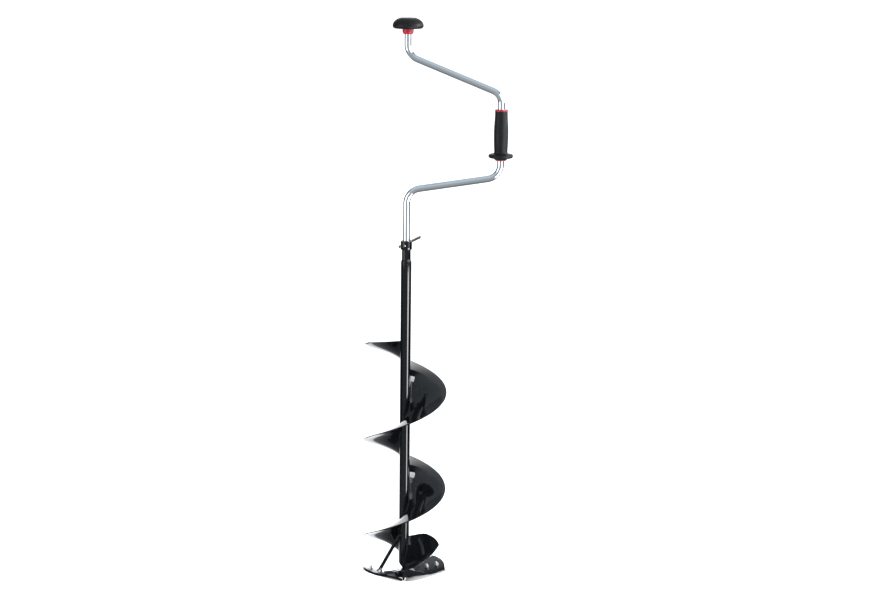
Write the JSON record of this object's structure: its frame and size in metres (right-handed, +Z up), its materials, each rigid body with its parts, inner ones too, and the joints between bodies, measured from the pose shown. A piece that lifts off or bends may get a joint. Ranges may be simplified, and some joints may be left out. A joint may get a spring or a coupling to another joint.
{
  "type": "ice fishing auger",
  "caption": "Hand-cranked ice auger: offset crank handle sliding in a drive tube, helical flight, braced two-blade cutting head.",
  "frame": {"origin": "on the drilling axis, level with the lowest blade points", "axes": "+Z up along the drive tube, +X towards the crank's side grip, +Y away from the front of the head, so the frame is right-handed"},
  "size_m": [0.3412, 0.1917, 1.3168],
  "materials": {
    "black_paint": "gloss black powder coat on steel",
    "zinc_plate": "bright zinc-plated steel tube",
    "blade_steel": "ground stainless steel with a honed bevel",
    "bright_fastener": "bright plated steel fasteners",
    "dark_steel": "blackened steel, lightly worn",
    "black_rubber": "satin moulded rubber",
    "red_plastic": "smooth moulded plastic",
    "nylon": "natural nylon"
  },
  "bodies": {
    "shaft": {"drive_tube": "black_paint", "neck_sleeve": "black_paint", "clamp_collar": "black_paint", "clamp_boss": "black_paint", "main_flight": "black_paint", "short_flight": "black_paint", "head_web": "black_paint", "brace_rod": "black_paint", "blade_holder_right": "black_paint", "blade_holder_left": "black_paint", "collar_rivet": "bright_fastener", "blade_right": "blade_steel", "blade_bolt_right_1": "bright_fastener", "blade_nut_right_1": "bright_fastener", "blade_bolt_right_2": "bright_fastener", "blade_nut_right_2": "bright_fastener", "blade_bolt_right_3": "bright_fastener", "blade_nut_right_3": "bright_fastener", "blade_left": "blade_steel", "blade_bolt_left_1": "bright_fastener", "blade_nut_left_1": "bright_fastener", "blade_bolt_left_2": "bright_fastener", "blade_nut_left_2": "bright_fastener", "blade_bolt_left_3": "bright_fastener", "blade_nut_left_3": "bright_fastener"},
    "handle_slider": {"guide_bush": "nylon"},
    "crank": {"crank_tube": "zinc_plate", "handle_end_plug": "nylon", "stop_ring_lower": "bright_fastener", "stop_ring_upper": "bright_fastener", "knob_insert": "bright_fastener", "knob_washer": "bright_fastener", "knob_screw": "bright_fastener"},
    "grip": {"grip_core": "red_plastic", "grip_rubber": "black_rubber"},
    "knob": {"knob_core": "red_plastic", "knob_body": "black_rubber", "knob_cap": "red_plastic"},
    "clamp_pad": {"clamp_pad": "nylon"},
    "clamp_handle": {"clamp_screw": "dark_steel", "clamp_bar": "dark_steel"}
  },
  "joints": [
    {"name": "handle_slide", "type": "slide", "parent": "shaft", "child": "handle_slider", "axis": [0, 0, 1], "range_m": [-0.075, 0.131]},
    {"name": "handle_swivel", "type": "hinge", "parent": "handle_slider", "child": "crank", "pos_m": [0, 0, 0.576], "axis": [0, 0, 1], "continuous": true},
    {"name": "grip_spin", "type": "hinge", "parent": "crank", "child": "grip", "pos_m": [0.212, 0, 1.056], "axis": [0, 0, 1], "continuous": true},
    {"name": "knob_spin", "type": "hinge", "parent": "crank", "child": "knob", "pos_m": [0, 0, 1.3], "axis": [0, 0, 1], "continuous": true},
    {"name": "clamp_advance", "type": "slide", "parent": "shaft", "child": "clamp_pad", "axis": [0.2079, 0.9781, 0], "range_m": [0, 0.00219]},
    {"name": "clamp_turn", "type": "hinge", "parent": "clamp_pad", "child": "clamp_handle", "pos_m": [0.00744, 0.03502, 0.803], "axis": [0.2079, 0.9781, 0], "range_deg": [0, 635]}
  ],
  "couplings": [
    {"joint": "clamp_turn", "follows": "clamp_advance", "rad_per_m": 5026.5}
  ]
}
